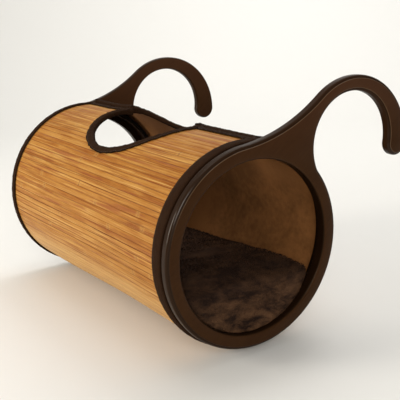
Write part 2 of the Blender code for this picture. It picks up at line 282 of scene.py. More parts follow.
# Besides the wood's own colours, these hold painted light: shade for the bore, the inside and the
# rounded edges, light for the upper part, and a highlight along the rim.
woodColours = {
    "dark": (41, 22, 10), "light": (64, 40, 20), "pores": (24, 12, 5), "bore": (14, 7, 3),
    "inside": (10, 5, 2), "upper": (90, 60, 43), "edges": (22, 12, 5), "rim": (122, 96, 70),
}


@materialNamed("dark_stained_wood")
def darkWood():
    x, y, z = split(placeIn("Object"))
    along, across = y * 0.78 + z * 0.62, z * 0.78 - y * 0.62
    fibres = noiseAt(vector(along * 7, across * 95, x * 60), 3.2, 5, 0.62, 0.4)
    broad = noiseAt(vector(along * 5, across * 22, x * 12), 2.0, 3, 0.5, 0.8)
    pores = band(noiseAt(vector(along * 26, across * 420, x * 260), 2.0, 2, 0.5), 0.60, 0.72)
    # Painted shade: the opening's bore and everything inside the mat are painted near black.
    radius, level = fromAxis(y, z), arithmetic("ABSOLUTE", x)
    bore = 1 - band(radius, 0.1195, 0.1210)
    inside = 1 - band(level, boardInner + 0.0001, boardInner + 0.0006)
    inside = inside * (1 - band(radius, 0.1330, 0.1345))
    # The rounded outer edges are painted darker than the flat faces as painted shade, and a pale
    # line along their rim is a painted highlight.
    # Below the neck they are polished as well.
    outside = band(radius, 0.126, 0.130)
    edges = band(level, boardInner + 0.0002, boardInner + 0.0008)
    edges = edges * (1 - band(level, boardOuter - 0.0006, boardOuter - 0.0001)) * outside
    # Painted highlight: a pale line along the rim, on the upper part only.
    rim = band(level, boardOuter - 0.0011, boardOuter - 0.0007) * outside
    rim = rim * (1 - band(level, boardOuter - 0.0002, boardOuter)) * band(z, -0.17, -0.07)
    polish = (1 - band(z, -0.11, -0.04)) * (band(z, -0.175, -0.140) * 0.7 + 0.3)
    # Painted light: the upper part, the hooks most of all, is painted lighter as if lit from
    # above.
    paint = painted(woodColours, "dark", light=clamped(fibres * 0.55 + broad * 0.55 - 0.05),
                    pores=pores * 0.4, bore=bore * 0.75, inside=inside * 0.75,
                    upper=band(z, -0.10, 0.03) * 0.4, edges=edges * 0.65, rim=rim * 0.38)
    return {"Base Color": paint, "Roughness": 0.27 + fibres * 0.10 + pores * 0.1,
            "Specular IOR Level": 0.07, "Specular Tint": (1.0, 0.78, 0.55, 1),
            "Coat Weight": edges * polish * 0.32 + 0.01, "Coat Roughness": 0.11,
            "Normal": bumped(fibres * 0.4 - pores * 0.7, 0.0001, 0.5)}


bambooColours = {
    "amber": (132, 74, 21), "honey": (156, 100, 37), "straw": (173, 121, 55),
    "cream": (188, 144, 78), "blush": (140, 78, 40), "veins": (122, 64, 15),
    "pale": (206, 162, 92), "halo": (188, 144, 78), "knot": (104, 52, 20),
    # The under colour is painted light: a pale band along the bottom.
    "under": (218, 182, 124), "line": (104, 48, 12),
}


@materialNamed("bamboo")
def bambooWood():
    x, y, z = split(placeIn("Object"))
    turn = arithmetic("ARCTAN2", y - axisY, z - axisZ)
    fromEdge = turn * matSettings["radius"] - rearEdge
    fromEdge = fromEdge + (0 - fromEdge > 0.0) * matGirth
    # The slat's number, the place across it, and three random values of its own
    slat = arithmetic("FLOOR", fromEdge / slatPitch)
    inSlat = arithmetic("FRACT", fromEdge / slatPitch)
    first, second, third = chance(slat), chance(slat + 311.5), chance(slat + 77.25)
    run = x + first * 9.0

    def grain(along, across, number, scale, detail, rough, bend=0.0):
        place = vector(run * along, inSlat * across, slat * number)
        return noiseAt(place, scale, detail, rough, bend)

    drift = grain(8, 0.6, 3.7, 1.6, 3, 0.6)
    streaks = grain(10, 3.6, 5.3, 1.8, 5, 0.62, 0.3)
    fibres = grain(55, 16, 2.9, 1.5, 4, 0.62)
    patches = noiseAt(vector(x * 16, turn * 2.2, 3.5), 1.0, 3, 0.55)
    tone = second * 0.30 + drift * 0.75 + streaks * 0.75 + patches * 0.45 + fibres * 0.25
    # Painted light and shade: the tone is painted lighter towards the bottom and darker towards
    # the right end.
    tone = tone + band(axisZ - z, 0.02, 0.13) * 0.16 - band(x, 0.10, 0.22) * 0.10
    # Some slats have a knot every 31 cm, with a pale swelling around it.
    knotAt = arithmetic("FRACT", (x + third * 0.61) / 0.31)
    ragged = noiseAt(vector(inSlat * 2.4, slat * 2.2, x * 90), 1.4, 3, 0.6)
    knotGap = arithmetic("ABSOLUTE", knotAt - 0.5) * 0.31 + (ragged - 0.5) * 0.007
    marked = third > 0.45
    flecks = noiseAt(vector(inSlat * 5.5, slat * 7.1, x * 420), 1.0, 2, 0.5)
    knot = (1 - band(knotGap, 0.0006, 0.0034)) * band(flecks, 0.46, 0.60) * marked
    halo = (1 - band(knotGap, 0.002, 0.008)) * marked
    # Dark lines lie between the slats, and cracks run along some of them.
    edge = arithmetic("ABSOLUTE", inSlat - 0.5)
    uneven = noiseAt(vector(run * 11, slat * 2.1, 0.5), 1.5, 3, 0.6)
    line = band(edge + (uneven - 0.5) * 0.24, 0.37, 0.48) * (0.10 + first * first * 1.05)
    fromCrack = arithmetic("ABSOLUTE", inSlat - second * 0.6 - 0.2)
    cracked = band(noiseAt(vector(run * 6, slat * 4.3, 9.5), 1.4, 3, 0.55), 0.50, 0.64)
    line = line + (1 - band(fromCrack, 0.0, 0.10)) * cracked * 0.7
    # Painted light: the under share lays a pale band along the bottom.
    paint = painted(
        bambooColours, "amber", honey=band(tone, 0.90, 1.14), straw=band(tone, 1.10, 1.34),
        cream=band(tone, 1.36, 1.62),
        blush=band(grain(7, 1.4, 11.3, 1.3, 3, 0.5), 0.54, 0.68) * 0.75,
        veins=band(grain(4, 3.0, 8.9, 1.6, 5, 0.65), 0.52, 0.67) * 0.85,
        pale=band(grain(3.5, 2.5, 6.7, 1.5, 5, 0.65), 0.53, 0.68) * 0.7,
        halo=halo * 0.40, knot=knot * 0.70, under=band(axisZ - z, 0.030, 0.080) * 0.42,
        line=clamped(line))
    relief = fibres * 0.35 + streaks * 0.3 + halo * 0.5 - knot * 0.5
    return {"Base Color": paint, "Roughness": 0.46 + fibres * 0.14, "Specular IOR Level": 0.12,
            "Normal": bumped(relief, 0.00022, 0.7)}


# The pale colour is painted light: a patch high up near the right end.
suedeColours = {"dark": (102, 65, 31), "light": (156, 103, 56), "pale": (180, 121, 71),
                "nap": (74, 48, 26), "sheen": (190, 140, 95)}


@materialNamed("suede_cloth")
def suedeCloth():
    place = placeIn("Object")
    nap = noiseAt(place, 900, 3, 0.6)
    brushed = noiseAt(place, 21, 4, 0.6, 0.6)
    mottle = noiseAt(place, 120, 3, 0.6)
    x, y, z = split(place)
    up = z - axisZ
    # Painted light and shade: darker in the middle and in the upper half, lighter towards both
    # ends and at the rear.
    lit = band(y - axisY, 0.03, 0.12) * 0.18 - band(up, 0.0, 0.10) * 0.26
    lit = lit + (1 - band(x, -0.11, -0.01)) * 0.66
    lit = lit - band(x, -0.03, 0.03) * 0.54 + band(x, 0.04, 0.20) * 0.54
    # Painted light: a pale patch high up near the right end.
    pale = band(up, 0.03, 0.07) * band(x, 0.08, 0.14)
    tone = clamped(brushed * 1.4 + mottle - 0.70 + lit)
    paint = painted(suedeColours, "dark", light=tone, pale=pale * 0.6, nap=nap * 0.3)
    return {"Base Color": paint, "Roughness": 0.86 + nap * 0.1, "Specular IOR Level": 0.15,
            "Sheen Weight": 0.12, "Sheen Roughness": 0.5,
            "Sheen Tint": colour(*suedeColours["sheen"]),
            "Normal": bumped(nap * 0.7 + mottle * 0.5, 0.0003, 0.6)}


tapeSettings = {"ribs": 0.0011, "bands": 0.0034}
# The edge and inside colours are painted shade: along the tape's edge beside the mat, and on its
# part inside the mat.
tapeColours = {"dark": (15, 8, 4), "light": (61, 37, 20), "tint": (46, 31, 18),
               "edge": (14, 8, 4), "inside": (12, 6, 3)}


@materialNamed("twill_tape")
def twillTape():
    place = placeIn("UV")
    u, v = split(place)[:2]
    rib = arithmetic("SINE", (u + v) * (2 * math.pi / tapeSettings["ribs"]))
    cross = arithmetic("SINE", (u - v) * (2 * math.pi / tapeSettings["bands"]))
    weave = rib * 0.5 + cross * 0.2 + 0.5
    worn = noiseAt(place, 260, 4, 0.6)
    tint = noiseAt(place, 38, 3, 0.5)
    # Painted shade: a dark line along the tape's edge where it meets the bamboo.
    edgeShade = 1 - band(v + (worn - 0.5) * 0.001, 0.0004, 0.0024)
    # Painted shade: the tape's turned-in part inside the mat is painted darker.
    inside = 1 - band(fromAxis(*split(placeIn("Object"))[1:]), 0.1362, 0.1372)
    paint = painted(tapeColours, "dark", light=clamped(weave * 0.5 + worn * 0.6 - 0.1),
                    tint=band(tint, 0.4, 0.7) * 0.35, edge=edgeShade * 0.75, inside=inside * 0.6)
    return {"Base Color": paint, "Roughness": 0.78 + worn * 0.15, "Specular IOR Level": 0.06,
            "Normal": bumped(weave + worn * 0.4, 0.00022, 0.8)}


threadColours = {"dark": (34, 23, 17), "light": (66, 47, 35)}


@materialNamed("thread")
def threadCord():
    twist = noiseAt(placeIn("Object"), 2600, 2, 0.5)
    return {"Base Color": painted(threadColours, "dark", light=twist), "Roughness": 0.6,
            "Normal": bumped(twist, 0.0001, 0.5)}


plushColours = {"dark": (31, 16, 8), "light": (108, 76, 51), "hairs": (22, 12, 7),
                "sheen": (200, 135, 85)}


@materialNamed("plush")
def plushPile():
    # Brushed in long strokes, and painted paler with stronger clumps low down as painted light.
    place = placeIn("Object")
    x, y, z = split(place)
    combed = vector(x, y * 0.6 - z * 0.25, z * 1.3 + y * 0.3)
    brushed = noiseAt(combed, 26, 5, 0.62, 0.6)
    clumps = noiseAt(combed, 105, 4, 0.6, 0.5)
    hairs = noiseAt(place, 640, 3, 0.6)
    # Painted light: the lower part is painted paler and in stronger contrast.
    low = band(axisZ - z, 0.035, 0.105)
    shade = (brushed - 0.5) * (low * 1.5 + 1.0) + (clumps - 0.5) * (low * 0.9 + 0.5)
    paint = painted(plushColours, "dark", light=clamped(shade + low * 0.32 + 0.1),
                    hairs=hairs * 0.35)
    return {"Base Color": paint, "Roughness": 0.9 - hairs * 0.12, "Specular IOR Level": 0.15,
            "Sheen Weight": 0.12, "Sheen Roughness": 0.35,
            "Sheen Tint": colour(*plushColours["sheen"]),
            "Normal": bumped(clumps * 0.7 + hairs * 0.5, 0.0012, 0.7)}


loopColours = {"dark": (16, 14, 13), "light": (44, 40, 37)}


@materialNamed("hook_and_loop")
def loopTape():
    place = placeIn("Object")
    loops, rows = noiseAt(place, 1500, 2, 0.7), noiseAt(place, 240, 3, 0.6)
    return {"Base Color": painted(loopColours, "dark", light=loops),
            "Roughness": 0.8 + rows * 0.15, "Normal": bumped(loops + rows * 0.5, 0.0004, 0.9)}


print("materials made")


def finishPiece(obj, material, replaced=(), body="tunnel"):
    obj.data.materials.clear()
    obj.data.materials.append(material)
    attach(obj, body)
    if replaced:
        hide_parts(*replaced)
    return obj


def newObject(name, data):
    obj = bpy.data.objects.new(name, data)
    bpy.context.scene.collection.objects.link(obj)
    return obj


def meshObject(name, bm, sharp=None):
    bmesh.ops.recalc_face_normals(bm, faces=bm.faces)
    mesh = bpy.data.meshes.new(name)
    bm.to_mesh(mesh)
    bm.free()
    mesh.shade_smooth()
    if sharp is not None:
        mesh.set_sharp_from_angle(angle=math.radians(sharp))
    return newObject(name, mesh)


def applied(obj):
    # The evaluated mesh takes the place of the object's own, and its modifiers go.
    depsgraph = bpy.context.evaluated_depsgraph_get()
    mesh = bpy.data.meshes.new_from_object(obj.evaluated_get(depsgraph))
    obj.modifiers.clear()
    obj.data = mesh
    mesh.name = obj.name
    return obj


def joinRows(bm, rows, closedRows=False):
    # Faces between closed outlines of equal length, each with its row and its place in it.
    for k in range(len(rows) if closedRows else len(rows) - 1):
        low, high = rows[k], rows[(k + 1) % len(rows)]
        for i in range(len(low)):
            j = (i + 1) % len(low)
            yield k, i, bm.faces.new((low[i], low[j], high[j], high[i]))


def loft(name, rows, closedRows=False, sharp=None):
    # Rows of closed outlines joined to a skin, with UVs in metres along and round it.
    bm = bmesh.new()
    uv = bm.loops.layers.uv.new("UVMap")
    loops = [[bm.verts.new(point) for point in row] for row in rows]
    count = len(rows[0])
    girth, run = [0.0], [0.0]
    for i in range(count):
        girth.append(girth[-1] + (rows[0][(i + 1) % count] - rows[0][i]).length)
    for k in range(1, len(rows) + closedRows):
        run.append(run[-1] + (rows[k % len(rows)][0] - rows[k - 1][0]).length)
    for k, i, face in joinRows(bm, loops, closedRows):
        corners = ((k, i), (k, i + 1), (k + 1, i + 1), (k + 1, i))
        for loop, (along, around) in zip(face.loops, corners):
            loop[uv].uv = (run[along], girth[around])
    if not closedRows:
        bm.faces.new(loops[0])
        bm.faces.new(loops[-1])
    return meshObject(name, bm, sharp)


# Side boards: a ring and a hook in one outline of arcs
boardSettings = {
    "thickness": 0.015, "ring": 0.140, "opening": 0.119, "edge": 0.004, "slot": 0.1024,
    "waist": 0.715, "foot": math.radians(39.9), "crown": 0.0214, "tip": 0.0374, "hook": 0.104,
    "neck": 0.250, "step": 0.0014, "lip": 0.0010, "lipGap": 0.0002, "bevel": 0.0006,
    "ringSteps": 288, "archSteps": 96, "tipSteps": 24, "hookSteps": 64, "neckSteps": 32,
    "edgeRows": 7, "lipRows": 3,
}


def arcRun(centre, radius, start, end, count):
    angles = [start + (end - start) * i / count for i in range(count)]
    return [(centre[0] + radius * math.cos(a), centre[1] + radius * math.sin(a)) for a in angles]


def crossing(a, radiusA, b, radiusB):
    # Where two circles meet, left of the line from a to b
    dy, dz = b[0] - a[0], b[1] - a[1]
    apart = math.hypot(dy, dz)
    along = (apart ** 2 + radiusA ** 2 - radiusB ** 2) / (2 * apart)
    across = math.sqrt(max(radiusA ** 2 - along ** 2, 0))
    return (a[0] + (along * dy - across * dz) / apart, a[1] + (along * dz + across * dy) / apart)


def heading(a, b):
    return math.atan2(b[1] - a[1], b[0] - a[0])


def boardOutline(inset):
    s = boardSettings
    archRadius = (s["slot"] + s["ring"] * (1 - s["waist"])) / 2
    archY = s["ring"] + s["slot"] - archRadius
    footY, footZ = s["ring"] * math.cos(s["foot"]), s["ring"] * math.sin(s["foot"])
    archZ = footZ + math.sqrt(archRadius ** 2 - (archY - footY) ** 2)
    hook = (archY + archRadius + s["tip"] - s["hook"], archZ + archRadius + s["crown"] - s["hook"])
    ring, arch = (0, 0), (archY, archZ)
    ringR, archR = s["ring"] - inset, archRadius + inset
    hookR, neckR = s["hook"] - inset, s["neck"] + inset
    neck = crossing(ring, ringR + neckR, hook, hookR + neckR)
    foot = crossing(ring, ringR, arch, archR)
    tipInner = (archY + math.sqrt(archR ** 2 - (hook[1] - archZ) ** 2), hook[1])
    tipOuter = hook[0] + hookR
    tip = ((tipInner[0] + tipOuter) / 2, hook[1])
    full = 2 * math.pi
    arcs = (
        (ring, ringR, heading(ring, neck), heading(ring, foot) + full, "ringSteps"),
        (arch, archR, heading(arch, foot) + full, heading(arch, tipInner), "archSteps"),
        (tip, tipOuter - tip[0], -math.pi, 0, "tipSteps"),
        (hook, hookR, 0, heading(hook, neck), "hookSteps"),
        (neck, neckR, heading(neck, hook) + full, heading(neck, ring) + full, "neckSteps"),
    )
    return [point for *arc, count in arcs for point in arcRun(*arc, s[count])]


def sideBoard(label, side):
    s = boardSettings
    bm = bmesh.new()
    edge, thick, lip = s["edge"], s["thickness"], s["lip"]
    inner = [(edge * (1 - math.cos(t)), edge * (1 - math.sin(t))) for t in quarter(s["edgeRows"])]
    outer = [(thick - depth, inset) for depth, inset in reversed(inner)]
    stepped = [(thick - s["step"] - depth, inset) for depth, inset in reversed(inner)]
    # A small lip frames the outer face, a step above the rounded edge.
    stepped += [(thick - lip * (1 - math.sin(t)), edge + s["lipGap"] + lip * (1 - math.cos(t)))
                for t in quarter(s["lipRows"])]

    def boardRow(depth, outline):
        x = side * (boardInner + depth)
        return [bm.verts.new((x, axisY + y, axisZ + z)) for y, z in outline]

    outlineRows = [boardRow(depth, boardOutline(inset)) for depth, inset in inner + stepped]
    full, count = 2 * math.pi, s["ringSteps"]
    holeRows = [boardRow(depth, arcRun((0, 0), s["opening"] + inset, 0, full, count))
                for depth, inset in [(0, s["bevel"]), (s["bevel"], 0)] + outer]
    for rows in (outlineRows, holeRows):
        list(joinRows(bm, rows))
    for row in (0, -1):
        edges = []
        for loop in (outlineRows[row], holeRows[row]):
            edges += [bm.edges.get((v, loop[(i + 1) % len(loop)])) for i, v in enumerate(loop)]
        bmesh.ops.triangle_fill(bm, use_beauty=True, edges=edges)
    board = meshObject(f"board_{label}", bm, sharp=38)
    return finishPiece(board, darkWood, [f"side_board_{label}"])


# Hoops inside the mat's ends
hoopSettings = {
    "inner": 0.1290, "outer": 0.1325, "left": 0.2210, "right": 0.2265, "toX": 0.2459,
    "round": 0.0008, "roundSteps": 3, "steps": 192,
}


def hoop(label, side):
    s = hoopSettings
    r = s["round"]
    section = []
    corners = ((s[label], s["inner"], 1, 1, 180), (s[label], s["outer"], 1, -1, 90),
               (s["toX"], s["outer"], -1, -1, 0), (s["toX"], s["inner"], -1, 1, 270))
    for x, radius, toX, toR, start in corners:
        for i in range(s["roundSteps"] + 1):
            angle = math.radians(start - 90 * i / s["roundSteps"])
            section.append((x + toX * r + r * math.cos(angle),
                            radius + toR * r + r * math.sin(angle)))
    turns = [2 * math.pi * i / s["steps"] for i in range(s["steps"])]
    rows = [[ringPoint(side * x, turn, radius) for x, radius in section] for turn in turns]
    ring = loft(f"hoop_ring_{label}", rows, closedRows=True, sharp=50)
    return finishPiece(ring, darkWood, [f"hoop_{label}"])


for label, side in ends:
    sideBoard(label, side)
    hoop(label, side)
print("boards and hoops made")


# Geometry node trees, built from the same node values
def treeInput(name, kind, start=None):
    item = Signal.tree.interface.new_socket(name, in_out="INPUT", socket_type="NodeSocket" + kind)
    if start is not None:
        item.default_value = start
    return addNode("NodeGroupInput", output=name)


def newTree(name):
    Signal.tree = bpy.data.node_groups.new(name, "GeometryNodeTree")
    return treeInput("Geometry", "Geometry")


def attribute(name):
    return addNode("GeometryNodeInputNamedAttribute", {"Name": name})


def between(low, high, seed):
    # A random value for each point
    return addNode("FunctionNodeRandomValue", {"Seed": seed, 2: low, 3: high}, output=1)


def vectorMaths(operation, values):
    return addNode("ShaderNodeVectorMath", values, operation=operation)


def swirl(scale):
    # Smooth noise about zero, one value for each axis
    noises = addNode("ShaderNodeTexNoise", {"Scale": scale, "Detail": 2.0}, output="Color")
    return vectorMaths("SUBTRACT", (noises, (0.5, 0.5, 0.5)))


def facing(direction, axis):
    return addNode("FunctionNodeAlignRotationToVector", {"Vector": direction}, axis=axis)


def piece(thing):
    return addNode("GeometryNodeObjectInfo", {"Object": thing, "As Instance": True}, "Geometry")


def placed(points, instance, rotation, scale):
    return addNode("GeometryNodeInstanceOnPoints", {
        "Points": points, "Instance": instance, "Rotation": rotation, "Scale": scale})


def realized(geometry):
    return addNode("GeometryNodeRealizeInstances", [geometry])


def treeEnd(geometry, material):
    tree = Signal.tree
    values = {"Geometry": realized(geometry), "Material": material}
    surface = addNode("GeometryNodeSetMaterial", values)
    tree.interface.new_socket("Geometry", in_out="OUTPUT", socket_type="NodeSocketGeometry")
    tree.links.new(surface.socket, tree.nodes.new("NodeGroupOutput").inputs[0])
    return tree


def grow(obj, tree, **values):
    # Runs a node tree on an object and keeps the result as plain mesh.
    modifier = obj.modifiers.new(tree.name, "NODES")
    modifier.node_group = tree
    for item in tree.interface.items_tree:
        if item.item_type == "SOCKET" and item.in_out == "INPUT" and item.name in values:
            modifier[item.identifier] = values[item.name]
    return applied(obj)


# Bamboo slats
slatSettings = {
    "width": 0.0078, "thickness": 0.0019, "rounding": 0.00022, "crown": 0.0001,
    "shoulder": 0.0006, "steps": 16, "acrossSteps": 8, "sunk": 0.00025, "gap": 0.0008,
    "roll": 0.012, "narrowest": 0.975, "widest": 1.03, "wobble": 0.00016, "wobbleScale": 9.0,
    "seed": 3,
}
dice = random.Random(5)


def slatTemplate():
    # One slat of unit length along X, with a crowned face and rounded shoulders.
    s = slatSettings
    half, top = s["width"] / 2, s["thickness"] / 2
    section = []
    for i in range(s["acrossSteps"] + 1):
        share = i / s["acrossSteps"] * 2 - 1
        fall = s["rounding"] * abs(share) ** 3
        section.append((half * share, top - fall - s["crown"] * share ** 2))
    side, shoulder = half + s["rounding"], top - s["shoulder"]
    section += [(side, shoulder), (side, -top), (-side, -top), (-side, shoulder)]
    rows = [[Vector((k / s["steps"] - 0.5, y, z)) for y, z in section]
            for k in range(s["steps"] + 1)]
    return loft("slat_template", rows, sharp=45)


def slatTree():
    s = slatSettings
    points = newTree("slats")
    slat, seed = treeInput("Slat", "Object"), treeInput("Seed", "Int", s["seed"])
    wobble = treeInput("Wobble", "Float", s["wobble"])
    wobbleScale = treeInput("Wobble Scale", "Float", s["wobbleScale"])
    turn = attribute("turn") * -1.0 + between(-s["roll"], s["roll"], seed)
    size = vector(attribute("span"), between(s["narrowest"], s["widest"], seed), 1.0)
    slats = realized(placed(points, piece(slat), vector(turn, 0, 0), size))
    shift = vectorMaths("MULTIPLY", (swirl(wobbleScale), vector(0, wobble, wobble)))
    moved = addNode("GeometryNodeSetPosition", {"Geometry": slats, "Offset": shift})
    return treeEnd(moved, bambooWood)


def slatMat():
    m, h, s = matSettings, holeSettings, slatSettings
    points, turns, spans = [], [], []

    def addSlat(low, high, angle):
        level = m["radius"] - s["thickness"] / 2 - s["sunk"] * dice.random()
        points.append(ringPoint((low + high) / 2, angle, level))
        turns.append(angle)
        spans.append(high - low)

    for i in range(m["slats"]):
        arc = rearEdge + (i + 0.5) * slatPitch
        angle, near = arc / m["radius"], fromTop(arc)
        edges = [near - slatPitch / 2 - h["arc"], near + slatPitch / 2 - h["arc"]]
        nearest = 0 if edges[0] * edges[1] < 0 else min(abs(edge) for edge in edges)
        if nearest < h["halfArc"]:
            across = math.sqrt(1 - (nearest / h["halfArc"]) ** 2)
            rear = near > seamArc
            addSlat(-m["endX"], h["shift"] - holeHalf(False, rear) * across - s["gap"], angle)
            addSlat(h["shift"] + holeHalf(True, rear) * across + s["gap"], m["endX"], angle)
        else:
            addSlat(-m["endX"], m["endX"], angle)
    mesh = bpy.data.meshes.new("bamboo_slats")
    mesh.from_pydata(points, [], [])
    for name, numbers in (("turn", turns), ("span", spans)):
        mesh.attributes.new(name, "FLOAT", "POINT").data.foreach_set("value", numbers)
    mat, template = newObject("bamboo_slats", mesh), slatTemplate()
    grow(mat, slatTree(), Slat=template)
    bpy.data.objects.remove(template)
    for vertex in mat.data.vertices:
        across, up = vertex.co.y - axisY, vertex.co.z - axisZ
        angle, radius = math.atan2(across, up), math.hypot(across, up)
        vertex.co = ringPoint(vertex.co.x, angle, radius + matRise(vertex.co.x, angle))
    return finishPiece(mat, bambooWood, ["slat_mat"])


print("slats", len(slatMat().data.polygons), "faces")


# Lining: one cloth sheet laid on the inside of the mat's curve
liningSettings = {"outer": -0.0023, "thickness": 0.0012, "step": 0.006, "overlap": 0.0015,
                  "wave": 0.0004, "pressed": 0.9}


def clothStrip(name, xRange, arcRange, level, thickness, step, rise, wave, skip=None):
    # One sheet between two arcs, moved a little by smooth noise, then given its thickness.
    bm = bmesh.new()
    uv = bm.loops.layers.uv.new("UVMap")
    columns = max(2, round((xRange[1] - xRange[0]) / step))
    rows = max(2, round((arcRange[1] - arcRange[0]) / step))
    grid, places = [], []
    for i in range(rows + 1):
        arc = arcRange[0] + (arcRange[1] - arcRange[0]) * i / rows
        places.append([(xRange[0] + (xRange[1] - xRange[0]) * k / columns, arc)
                       for k in range(columns + 1)])
        ripples = [noise.noise(Vector((x * 13, arc * 17, 4.2))) - 0.6 for x, _ in places[-1]]
        grid.append([bm.verts.new(matPoint(x, arc, level + wave * ripple, rise))
                     for (x, _), ripple in zip(places[-1], ripples)])
    for i in range(rows):
        for k in range(columns):
            corners = ((i, k), (i, k + 1), (i + 1, k + 1), (i + 1, k))
            if skip and any(skip(*places[a][b]) for a, b in corners):
                continue
            face = bm.faces.new([grid[a][b] for a, b in corners])
            for loop, (a, b) in zip(face.loops, corners):
                loop[uv].uv = places[a][b]
    bmesh.ops.delete(bm, geom=[v for v in bm.verts if not v.link_faces], context="VERTS")
    obj = meshObject(name, bm)
    thicken = obj.modifiers.new("thickness", "SOLIDIFY")
    thicken.thickness = thickness
    thicken.offset = 0
    return applied(obj)


def inHole(x, arc):
    return holeDepth(x, fromTop(arc)) < 1 + liningSettings["overlap"] / holeSettings["halfArc"]


def lining():
    s, endX = liningSettings, matSettings["endX"]
    sheet = clothStrip("lining_cloth", (-endX, endX), (rearEdge, matGirth + frontEdge),
                       s["outer"] - s["thickness"] / 2, s["thickness"] * s["pressed"],
                       s["step"], matRise, s["wave"], inHole)
    return finishPiece(sheet, suedeCloth, ["lining"])


liningPiece = lining()
print("lining", len(liningPiece.data.polygons), "faces")


# Binding tape: a folded strip of cloth, sewn near its edge
bindingSettings = {
    "thickness": 0.0011, "top": 0.0004, "bottom": -0.0038, "turnIn": 0.011, "fold": 0.0004,
    "bend": 0.0006, "bendSteps": 3, "topSteps": 10, "bottomSteps": 5, "thinEdge": 0.55,
    "right": 0.017, "left": 0.004, "edge": 0.012, "hole": 0.011, "sewnFrom": 0.006,
    "crown": 0.0015, "stitchIn": 0.0022, "seamWidth": 0.0012, "seamDepth": 0.75,
    "lap": 0.0011, "lapLength": 0.016, "leftTurnIn": 0.024, "holeTurnIn": 0.0065,
    "rollOver": 0.0085, "rollBottom": -0.0016, "closing": 0.006,
    "pucker": 0.0020, "wave": 0.0011, "endPucker": 0.0004, "endWave": 0.0005,
    "endSteps": 300, "edgeSteps": 60, "holeSteps": 150,
}
stitchLines = {}


def bindingSection(width, turnIn, rollOver=0):
    # Points (past the edge, level) round the folded tape, with the row sewn flat near its edge.
    # With rollOver the fold is a soft roll that stands out past the mat's edge.
    s = bindingSettings
    thick, bend = s["thickness"], s["bend"]
    top, bottom = s["top"] + thick / 2, s["bottom"] - thick / 2
    edge = s["fold"] + thick / 2
    fold = edge + rollOver
    under = s["rollBottom"] if rollOver else bottom
    line = []
    for i in range(s["topSteps"] + 1):
        past = -width + (width + fold - bend) * i / s["topSteps"]
        inside = (past + width) / (width + fold)
        sewn = math.exp(-((past + width - s["stitchIn"]) / s["seamWidth"]) ** 2)
        sewn = sewn * s["seamDepth"] if width > s["sewnFrom"] else 0
        lift = s["crown"] * math.sin(math.pi * min(1, inside)) ** 0.7 * (1 - sewn)
        line.append((past, top + lift))
    turns = quarter(s["bendSteps"])[1:]
    line += [(fold - bend + bend * math.sin(t), top - bend + bend * math.cos(t)) for t in turns]
    line += [(fold - bend + bend * math.cos(t), under + bend - bend * math.sin(t)) for t in turns]
    if rollOver:
        line += [((fold + edge) / 2, under), (edge + bend * 0.6, under),
                 (edge, under - bend * 0.6), (edge, bottom + bend)]
    for i in range(1, s["bottomSteps"] + 1):
        line.append((edge - bend - (turnIn + edge - bend) * i / s["bottomSteps"], bottom))
    outer, inner = [], []
    for i, (past, level) in enumerate(line):
        before, after = line[max(0, i - 1)], line[min(len(line) - 1, i + 1)]
        dp, dl = after[0] - before[0], after[1] - before[1]
        length = math.hypot(dp, dl)
        size = thick * (1 if 0 < i < len(line) - 1 else s["thinEdge"])
        aside, up = dl / length * size / 2, dp / length * size / 2
        outer.append((past - aside, level + up))
        inner.append((past + aside, level - up))
    return outer + inner[::-1]


def lapped(stations):
    # Spreads a tape's layers where it passes over another one: at its two ends, not between.
    s = bindingSettings
    run = [0.0]
    for before, after in zip(stations, stations[1:]):
        run.append(run[-1] + (after(0, 0) - before(0, 0)).length)

    def spread(place, along):
        end = min(along, run[-1] - along)
        lap = s["lap"] * ease((s["lapLength"] - end) / (0.4 * s["lapLength"]))
        return lambda past, level: place(past, level + (lap if level > 0 else -lap))

    return [spread(place, along) for place, along in zip(stations, run)]


def bindingPiece(name, station, count, width, laps=False, turnIn=None, rollOver=0,
                 pucker=bindingSettings["pucker"], wave=bindingSettings["wave"]):
    # station gives, for a share of the tape's length, a function from (past, level) to a point.
    s = bindingSettings
    section = bindingSection(width, turnIn or s["turnIn"], rollOver)
    stations = [station(share) for share in steps(count)]
    if laps:
        stations = lapped(stations)
    seed = len(name)

    def tapePoint(k, past, level):
        # The tape's two edges wander, and its upper face ripples.
        share = min(1, max(0, 1 + past / width))
        inEdge = 0.5 * noise.noise(Vector((k * 0.34, 7.7, seed)))
        outEdge = noise.noise(Vector((k * 0.31, 2.2, seed)))
        ripple = noise.noise(Vector((k * 0.45, past * 300, seed))) + 0.3
        lift = wave * ripple if level > 0 else 0
        return stations[k](past + pucker * (outEdge + (inEdge - outEdge) * share), level + lift)

    rows = [[tapePoint(k, *point) for point in section] for k in range(len(stations))]
    if width > s["sewnFrom"]:
        past, level = s["stitchIn"] - width, s["top"] + s["thickness"] + 0.0003
        stitchLines[name] = [tapePoint(k, past, level) for k in range(len(stations))]
    return finishPiece(loft(name, rows, sharp=60), twillTape,
                       [name.replace("binding", "tape")])


def endBinding(label, side):
    s, endX = bindingSettings, matSettings["endX"]

    def station(share):
        arc = rearEdge + (matGirth + frontEdge - rearEdge) * share

        # The turned-in layer leaves the mat and lies on the hoop's tape.
        def place(past, level):
            close = ease(-past / s["closing"]) if level < -0.003 else 0
            return matPoint(side * (endX + past), arc, level,
                            lambda x, angle: matRise(x, angle) * (1 - close))
        return place

    turnIn, rollOver = (s["leftTurnIn"], s["rollOver"]) if side < 0 else (None, 0)
    return bindingPiece(f"end_binding_{label}", station, s["endSteps"], s[label], True, turnIn,
                        rollOver, s["endPucker"], s["endWave"])


